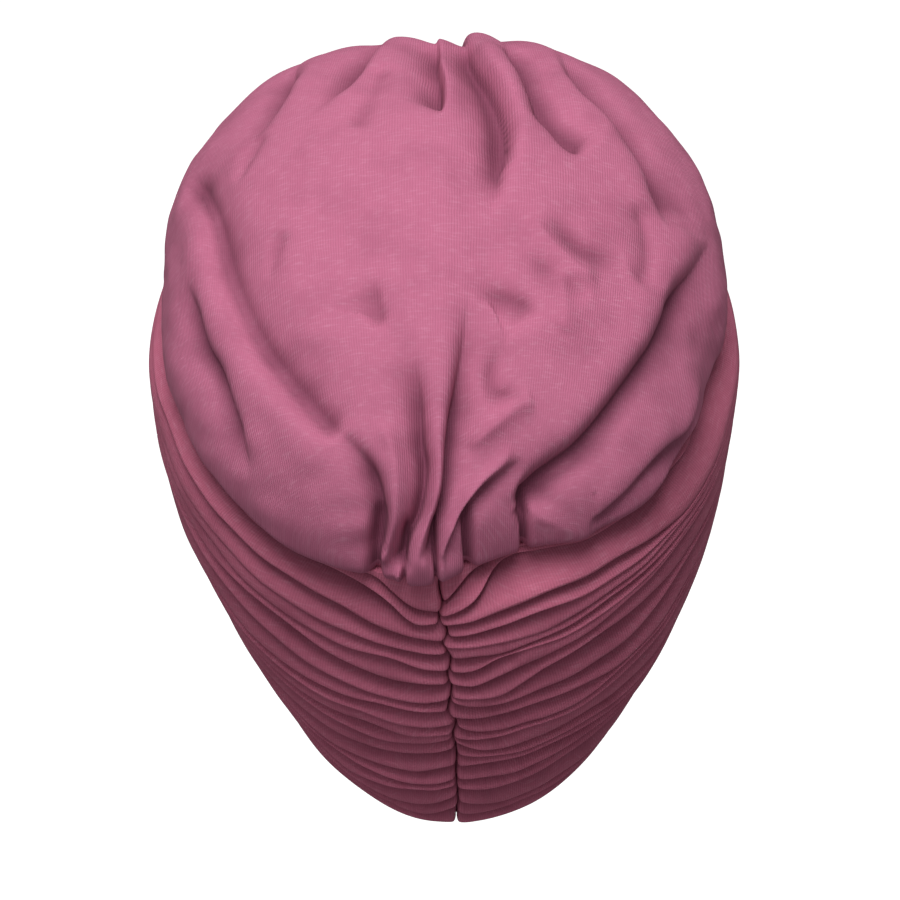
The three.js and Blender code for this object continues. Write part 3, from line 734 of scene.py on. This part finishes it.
def band_half(table, seed):
    """The rows of one half: heights and insets between each lip and the next."""
    lips = [np.ones(BAND_COLUMNS)]
    deep = [np.zeros(BAND_COLUMNS)]
    # Round the ears and the forehead the cloth is stretched, so the pleats lie flatter.
    stretched = 1.0 - 0.62 * smooth((band_angle / DEGREE - 30.0) / 45.0)
    for number, line in enumerate(table.strip().splitlines()):
        heights, depths = line.split("|")
        pick = np.random.default_rng(seed + number)
        start = pick.uniform(0, 6.28, 3)
        wiggle = sum(
            0.0016 * np.sin(band_angle / DEGREE * 2 * np.pi / period + begin)
            for period, begin in zip((23.0, 13.0, 37.0), start, strict=True)
        )
        lips.append(along_half(heights) + wiggle * smooth(band_angle / DEGREE / 6))
        deep.append(DEEPEST_PLEAT * stretched * np.maximum(0.05, along_half(depths)))
    lips.append(np.zeros(BAND_COLUMNS))
    deep.append(np.full(BAND_COLUMNS, HEM_TURN))
    lips, deep = np.minimum.accumulate(lips, axis=0), np.array(deep)
    span = lips[:-1] - lips[1:]
    height = BAND_HEIGHT * span
    room = np.clip(height / 6.0, 0.3, 1.0)
    share = lips[:-1, None] - span[:, None] * DOWN[None, :, None]
    inset = deep[:-1, None] * room[:, None] * IN_HERE[None, :, None]
    inset = inset + deep[1:, None] * IN_NEXT[None, :, None]
    inset[1:, 0] = deep[1:-1] * LIP_IN
    puff = np.sin(np.pi * np.clip(DOWN * 1.02, 0, 1)) ** 2
    inset = inset - np.minimum(0.8, 0.03 * height)[:, None] * puff[None, :, None]
    crease_shade = np.sqrt(deep[:-1, None] / DEEPEST_PLEAT) * CREASE_SHADE_HERE[None, :, None]
    crease_shade = np.concatenate([crease_shade.reshape(-1, BAND_COLUMNS), 0.0 * lips[-1:]])
    share = np.concatenate([share.reshape(-1, BAND_COLUMNS), lips[-1:]])
    inset = np.concatenate([inset.reshape(-1, BAND_COLUMNS), deep[-1:] * 0.5])
    return share, inset, crease_shade


print("rows in the left half", band_half(PLEATS_LEFT, 10)[0].shape[0])

# %% [markdown]
# ## From the section to the cloth of a half
# Near a seam every pleat dives in, the crests a little later than the grooves, and
# the edge of the cloth zigzags from pleat to pleat. The chart counts real lengths,
# round the head and down over every pleat, so the ribs stay evenly spaced. It also
# gives the size that the cloth was cut to before it was gathered.

# %% Lay out a half of the band
def half_piece(name, side, table, seed, replaces):
    """Both faces of one half, sewn together along its four edges."""
    share, inset, crease_shade = band_half(table, seed)
    rows = len(share)
    angle = np.broadcast_to(band_angle, share.shape)
    away = np.minimum(angle, np.pi - angle) * BAND["back"]
    dip = SEAM["wide_dip"] * np.exp(-away / SEAM["wide_fall"]) + SEAM["dip"] * np.exp(-away / SEAM["fall"])
    inset = inset * (1 - 0.45 * np.exp(-away / 2.0)) + dip
    smooth_point = band_base(side, angle, share)
    out = band_out(side, angle)
    inset = inset - 0.35 * waves(smooth_point, seed, 55.0, 18.0) * smooth(away / 12)
    points = smooth_point - out * inset[..., None]
    sway = seam_centre(share) * np.exp(-angle / SWAY_FADE)
    points[..., 0] += sway + side * SEAM["half_gap"]
    if side < 0:
        points, inset, angle, share = points[:, ::-1], inset[:, ::-1], angle[:, ::-1], share[:, ::-1]
        crease_shade = crease_shade[:, ::-1]
    step_down, step_along = 10, 4
    inner_rows, inner_columns = np.arange(0, rows, step_down), np.arange(0, BAND_COLUMNS, step_along)
    most = widest(inset, step_down, step_along, False)[inner_rows][:, inner_columns]
    pick = np.ix_(inner_rows, inner_columns)
    here = band_base(side, angle[pick], share[pick])
    lining = here - band_out(side, angle[pick]) * (most + WALL)[..., None]
    lining[..., 0] += seam_centre(share[pick]) * np.exp(-angle[pick] / SWAY_FADE)
    lining[..., 0] += side * SEAM["half_gap"]
    fine = numbered(points.shape[:2])
    coarse = numbered(lining.shape[:2], fine.size)
    down = np.linalg.norm(np.diff(points, axis=0), axis=-1)
    v = np.concatenate([np.zeros((1, BAND_COLUMNS)), np.cumsum(down, axis=0)])
    half_way = band_base(side, angle[0], np.full(BAND_COLUMNS, 0.6))
    step = np.linalg.norm(np.diff(half_way, axis=0), axis=-1)
    u = np.concatenate([[0.0], np.cumsum(step)])
    chart = np.stack([np.broadcast_to(u, v.shape), v], -1) * 0.01
    chart = np.concatenate([chart.reshape(-1, 2), chart[pick].reshape(-1, 2)])
    every = np.concatenate([points.reshape(-1, 3), lining.reshape(-1, 3)])
    piece = cloth_piece(name, every, closed_faces(fine, coarse), chart, crease_shade)
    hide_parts(replaces)
    return piece


band_left = half_piece("band_left_cloth", 1, PLEATS_LEFT, 10, "band_left")
band_right = half_piece("band_right_cloth", -1, PLEATS_RIGHT, 50, "band_right")

# %% [markdown]
# ## The gathered seams
# Between the halves the two raw edges are sewn together and lie inside. What shows
# is a narrow ruffled edge at the bottom of the valley, drawn up by the thread.


# %% Ruffled edges of the two seams
def seam_piece(name, angle, replaces):
    """A narrow wall along the seam whose face ripples with every stitch."""
    rows, columns, half_width, behind_pleats, thickness, stitch = 361, 9, 2.2, 2.4, 1.4, 2.6
    share = np.linspace(1.0, 0.0, rows)[:, None] * np.ones(columns)
    across = np.linspace(-1.0, 1.0, columns)[None] * np.ones((rows, 1))
    back = np.cos(angle) > 0
    at = np.full(share.shape, angle)
    height = share * BAND_HEIGHT
    ripple = 0.45 * np.sin(height * 2 * np.pi / stitch + across * 1.1)
    inset = SEAM["dip"] + behind_pleats + 0.5 * across**2 + ripple
    point = band_base(1, at, share) - band_out(1, at) * inset[..., None]
    sign = 1.0 if back else -1.0
    centre = seam_centre(share) if back else 0.0
    point[..., 0] += sign * across * half_width + centre + 0.12 * np.sin(height * np.pi / stitch)
    behind = point - band_out(1, at) * thickness
    front = numbered((rows, columns))
    faces = closed_faces(front, front + front.size)
    chart = np.stack([across * half_width, height], -1).reshape(-1, 2) * 0.01
    every = np.concatenate([point.reshape(-1, 3), behind.reshape(-1, 3)])
    piece = cloth_piece(name, every, faces, np.concatenate([chart, chart]), 0.0 * share)
    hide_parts(replaces)
    return piece


back_edge = seam_piece("back_seam_edge", 0.0, "back_seam")
front_edge = seam_piece("front_seam_edge", np.pi, "front_seam")

# %% [markdown]
# ## Jersey as a node group
# Jersey is knitted: fine ribs run one way, and rows of loops cross them. Seen
# close, the ribs are rounded ridges with dark gaps, the rows only a faint ripple,
# and the dyed cotton is heathered with short paler streaks along the rows. Shade
# is painted into the creases: there the colour is mixed towards a dark shade colour,
# where light would not reach. One node group makes all of it, so
# both cloths use the same knit with their own values.


# %% The knit group
LOOP_HEIGHT = 0.68
# Streaks and loose fibres: how many fit in 100 mm along and across the rows.
STREAKS, FIBRES, FIBRE_TURN = (22.0, 150.0), (60.0, 190.0), 0.35


def socket(tree, name, in_out, kind, value=None):
    """Adds one named socket to a group."""
    made = tree.interface.new_socket(name=name, in_out=in_out, socket_type=kind)
    if value is not None:
        made.default_value = value
    return made


def node(tree, kind, **settings):
    """Adds a node and sets the named properties on it."""
    made = tree.nodes.new(kind)
    for key, value in settings.items():
        setattr(made, key, value)
    return made


def set_inputs(made, values):
    """Sets the named inputs of a node to plain numbers or colours."""
    for name, value in values.items():
        made.inputs[name].default_value = value


def math_node(tree, operation, first, second=None, clamp=False):
    """A Math node fed by sockets or plain numbers."""
    made = node(tree, "ShaderNodeMath", operation=operation, use_clamp=clamp)
    for index, value in enumerate((first, second)):
        if value is None:
            continue
        if isinstance(value, (int, float)):
            made.inputs[index].default_value = value
        else:
            tree.links.new(value, made.inputs[index])
    return made.outputs[0]


def mix_colour(tree, factor, first, second, blend="MIX"):
    """Mixes two colours by a factor."""
    made = node(tree, "ShaderNodeMix", data_type="RGBA", blend_type=blend)
    for index, value in ((0, factor), (6, first), (7, second)):
        if isinstance(value, (int, float, tuple)):
            made.inputs[index].default_value = value
        else:
            tree.links.new(value, made.inputs[index])
    return made.outputs[2]


def noise(tree, vector, scale=1.0, detail=2.0):
    """A Noise node read along a vector."""
    made = node(tree, "ShaderNodeTexNoise")
    set_inputs(made, {"Scale": scale, "Detail": detail})
    tree.links.new(vector, made.inputs["Vector"])
    return made.outputs[0]


def mapped(tree, vector, scale, turn=0.0):
    """A vector turned in the plane of the chart and scaled."""
    made = node(tree, "ShaderNodeMapping")
    set_inputs(made, {"Scale": (*scale, 1.0), "Rotation": (0.0, 0.0, turn)})
    tree.links.new(vector, made.inputs["Vector"])
    return made.outputs[0]


def build_knit():
    """Ribs, loops, heather, pale fibres and painted crease shade, from a chart in units of 100 mm."""
    tree = bpy.data.node_groups.new("Jersey knit", "ShaderNodeTree")
    socket(tree, "Chart", "INPUT", "NodeSocketVector")
    colours = {"Cloth": (0.5, 0.15, 0.25, 1), "Gap": (0.3, 0.08, 0.13, 1), "Fibre": (0.75, 0.4, 0.5, 1)}
    # The darkest colour is painted shade, for the creases.
    for name, value in {**colours, "Deep": (0.07, 0.014, 0.03, 1)}.items():
        socket(tree, name, "INPUT", "NodeSocketColor", value)
    for name, value in {"Rib spacing": 0.85, "Rib contrast": 0.35, "Heather": 0.3, "Crease shade": 0.0}.items():
        socket(tree, name, "INPUT", "NodeSocketFloat", value)
    socket(tree, "Colour", "OUTPUT", "NodeSocketColor")
    socket(tree, "Height", "OUTPUT", "NodeSocketFloat")
    socket(tree, "Roughness", "OUTPUT", "NodeSocketFloat")
    given = node(tree, "NodeGroupInput")
    split = node(tree, "ShaderNodeSeparateXYZ")
    tree.links.new(given.outputs["Chart"], split.inputs[0])
    chart = given.outputs["Chart"]
    times, plus = partial(math_node, tree, "MULTIPLY"), partial(math_node, tree, "ADD")
    minus = partial(math_node, tree, "SUBTRACT")
    wobble = noise(tree, chart, 9.0)
    sway = times(minus(wobble, 0.5), 0.012)
    across = plus(split.outputs[0], sway)
    ribs_in = math_node(tree, "DIVIDE", 100.0, given.outputs["Rib spacing"])
    rib_turn = times(times(across, ribs_in), np.pi)
    rib = math_node(tree, "ABSOLUTE", math_node(tree, "SINE", rib_turn))
    row_turn = times(split.outputs[1], 2 * np.pi * 100 / LOOP_HEIGHT)
    loop = math_node(tree, "ABSOLUTE", math_node(tree, "SINE", row_turn))
    streak = noise(tree, mapped(tree, chart, STREAKS), detail=3.0)
    patch = noise(tree, chart, 5.0, 4.0)
    fibre = noise(tree, mapped(tree, chart, FIBRES, FIBRE_TURN))
    fibre_mask = times(minus(fibre, 0.66), 9.0, True)
    dark = times(minus(1.0, rib), given.outputs["Rib contrast"])
    worn = plus(0.25, times(streak, 1.5))
    dark = times(dark, worn)
    loops_dark = times(minus(1.0, loop), 0.10)
    dark = plus(dark, loops_dark, True)
    colour = mix_colour(tree, dark, given.outputs["Cloth"], given.outputs["Gap"])
    streak_level = times(times(minus(streak, 0.5), 2.2), given.outputs["Heather"], True)
    colour = mix_colour(tree, streak_level, colour, given.outputs["Fibre"])
    patch_dark = times(minus(0.52, patch), 1.1, True)
    colour = mix_colour(tree, patch_dark, colour, given.outputs["Gap"])
    fibre_level = times(fibre_mask, 0.2)
    colour = mix_colour(tree, fibre_level, colour, given.outputs["Fibre"])
    # Painted shade: the colour is mixed towards the dark shade colour by the crease amount.
    colour = mix_colour(tree, given.outputs["Crease shade"], colour, given.outputs["Deep"])
    height = plus(rib, times(loop, 0.3))
    height = plus(height, times(streak, 0.5))
    rough = minus(0.96, times(rib, 0.1))
    result = node(tree, "NodeGroupOutput")
    for name, value in {"Colour": colour, "Height": height, "Roughness": rough}.items():
        tree.links.new(value, result.inputs[name])
    return tree


knit = build_knit()
print("knit group with", len(knit.nodes), "nodes")


# %% [markdown]
# ## The two cloths
# Crown and band are cut from the same dyed jersey; the band's copy is painted
# lighter and warmer than the crown's, painted light for the glow of cloth lying in
# pleats. Cotton jersey is matt: it has almost no gloss, and a trace of sheen for
# its fuzz.

# %% Jersey materials
def jersey(name, cloth, gap, fibre, contrast, heather, crease_shade_strength):
    """A Principled material whose colour, roughness and bump come from the knit."""
    made = bpy.data.materials.new(name)
    made.use_nodes = True
    tree = made.node_tree
    shader = tree.nodes["Principled BSDF"]
    chart = node(tree, "ShaderNodeUVMap", uv_map="cloth")
    group = node(tree, "ShaderNodeGroup", node_tree=knit)
    tree.links.new(chart.outputs[0], group.inputs["Chart"])
    set_inputs(group, {"Cloth": (*cloth, 1), "Gap": (*gap, 1), "Fibre": (*fibre, 1)})
    set_inputs(group, {"Rib contrast": contrast, "Heather": heather})
    # Painted shade in the creases: the crease attribute, times the strength given, darkens the colour.
    crease_shade = node(tree, "ShaderNodeAttribute", attribute_name="crease_shade")
    shade = math_node(tree, "MULTIPLY", crease_shade.outputs["Fac"], crease_shade_strength, True)
    tree.links.new(shade, group.inputs["Crease shade"])
    bump = node(tree, "ShaderNodeBump")
    set_inputs(bump, {"Strength": 0.45, "Distance": 0.00025})
    tree.links.new(group.outputs["Height"], bump.inputs["Height"])
    tree.links.new(group.outputs["Colour"], shader.inputs["Base Color"])
    tree.links.new(group.outputs["Roughness"], shader.inputs["Roughness"])
    tree.links.new(bump.outputs[0], shader.inputs["Normal"])
    set_inputs(shader, {"Sheen Weight": 0.02, "Sheen Roughness": 0.45, "Specular IOR Level": 0.02})
    set_inputs(shader, {"Sheen Tint": (1.0, 0.72, 0.8, 1)})
    print("material", name)
    return made


crown_jersey = jersey(
    "crown jersey", (0.470, 0.142, 0.236), (0.22, 0.054, 0.100), (0.62, 0.28, 0.39),
    contrast=0.24, heather=0.6, crease_shade_strength=0.62,
)
# Painted light: the band's colours are lighter and warmer than the crown's, for the same jersey.
band_jersey = jersey(
    "band jersey", (0.55, 0.152, 0.240), (0.26, 0.058, 0.103), (0.72, 0.32, 0.43),
    contrast=0.28, heather=0.6, crease_shade_strength=0.72,
)
# Painted shade: the seam's edges are the same jersey, painted much darker for the shade at the bottom of
# the seam's valley.
seam_shade_jersey = jersey(
    "seam painted shade", (0.13, 0.03, 0.055), (0.06, 0.012, 0.024), (0.25, 0.1, 0.14),
    contrast=0.4, heather=0.3, crease_shade_strength=0.0,
)
crown_piece.data.materials.append(crown_jersey)
for half in (band_left, band_right):
    half.data.materials.append(band_jersey)
for edge in (back_edge, front_edge):
    edge.data.materials.append(seam_shade_jersey)

# %% [markdown]
# ## Floor and backdrop
# The turban is held up in the air, so the floor is a wide pale sheet well below
# it. It glows a little, so that it stays as white as photographer's paper.


# %% Floor and backdrop
def plain_sheet(name, size, height):
    """A flat square at a height, in metres."""
    mesh = bpy.data.meshes.new(name)
    corners = ((-1, -1), (1, -1), (1, 1), (-1, 1))
    spots = [(x * size / 2, y * size / 2, height) for x, y in corners]
    mesh.from_pydata(spots, [], [(0, 1, 2, 3)])
    made = bpy.data.objects.new(name, mesh)
    bpy.context.scene.collection.objects.link(made)
    return made


floor = plain_sheet("floor", 14.0, -0.6)
paper = bpy.data.materials.new("pale floor")
paper.use_nodes = True
paper_shader = paper.node_tree.nodes["Principled BSDF"]
set_inputs(paper_shader, {"Base Color": (0.93, 0.93, 0.93, 1), "Roughness": 0.9})
set_inputs(paper_shader, {"Emission Color": (1.0, 1.0, 1.0, 1), "Emission Strength": 0.55})
floor.visible_diffuse = False
floor.visible_shadow = False
floor.data.materials.append(paper)
world = bpy.context.scene.world or bpy.data.worlds.new("studio")
bpy.context.scene.world = world
world.use_nodes = True
background = world.node_tree.nodes["Background"]
background.inputs[0].default_value = (1.0, 0.99, 0.985, 1)
background.inputs[1].default_value = 0.22
bpy.context.scene.view_settings.view_transform = "Standard"
print("view transform", bpy.context.scene.view_settings.view_transform)

# %% [markdown]
# ## Light and camera
# One large soft light hangs almost straight above the head, and a weak one fills
# from behind it. The camera looks down at the back of the head at 45 degrees, from
# 1.1 m, with a long lens as for a picture in a catalogue.


# %% Lights and camera
def aim(thing, place, target):
    """Turns a light or camera to look from its place at the target."""
    thing.location = place
    look = Vector(target) - Vector(place)
    thing.rotation_euler = look.to_track_quat("-Z", "Y").to_euler()


def soft_light(name, place, target, size, power):
    """A square area light in watts."""
    lamp = bpy.data.lights.new(name, "AREA")
    lamp.shape = "SQUARE"
    lamp.size = size
    lamp.energy = power
    made = bpy.data.objects.new(name, lamp)
    bpy.context.scene.collection.objects.link(made)
    aim(made, place, target)
    print(name, power, "watts")


soft_light("key light", (0.12, 0.14, 1.45), (0.0, 0.0, 0.05), 1.0, 24.5)
soft_light("fill light", (0.30, 1.1, 1.0), (0.0, 0.0, 0.0), 0.9, 2.5)

camera_data = bpy.data.cameras.new("camera")
camera_data.sensor_width = 36.0
camera_data.lens = 141.88
camera = bpy.data.objects.new("camera", camera_data)
bpy.context.scene.collection.objects.link(camera)
target = np.array([0.0, 0.0094, 0.0019])
distance, elevation = 1.1, 45 * DEGREE
place = target + distance * np.array([0.0, np.cos(elevation), np.sin(elevation)])
aim(camera, tuple(place), tuple(target))
bpy.context.scene.camera = camera
print("camera at", place.round(3))

# %% [markdown]
# ## Finish
# The view layer is brought up to date at the end. The dressed turban has to stay
# within the box of the imported solids, apart from the little that cloth stands
# proud.

# %% Finish
bpy.context.view_layer.update()
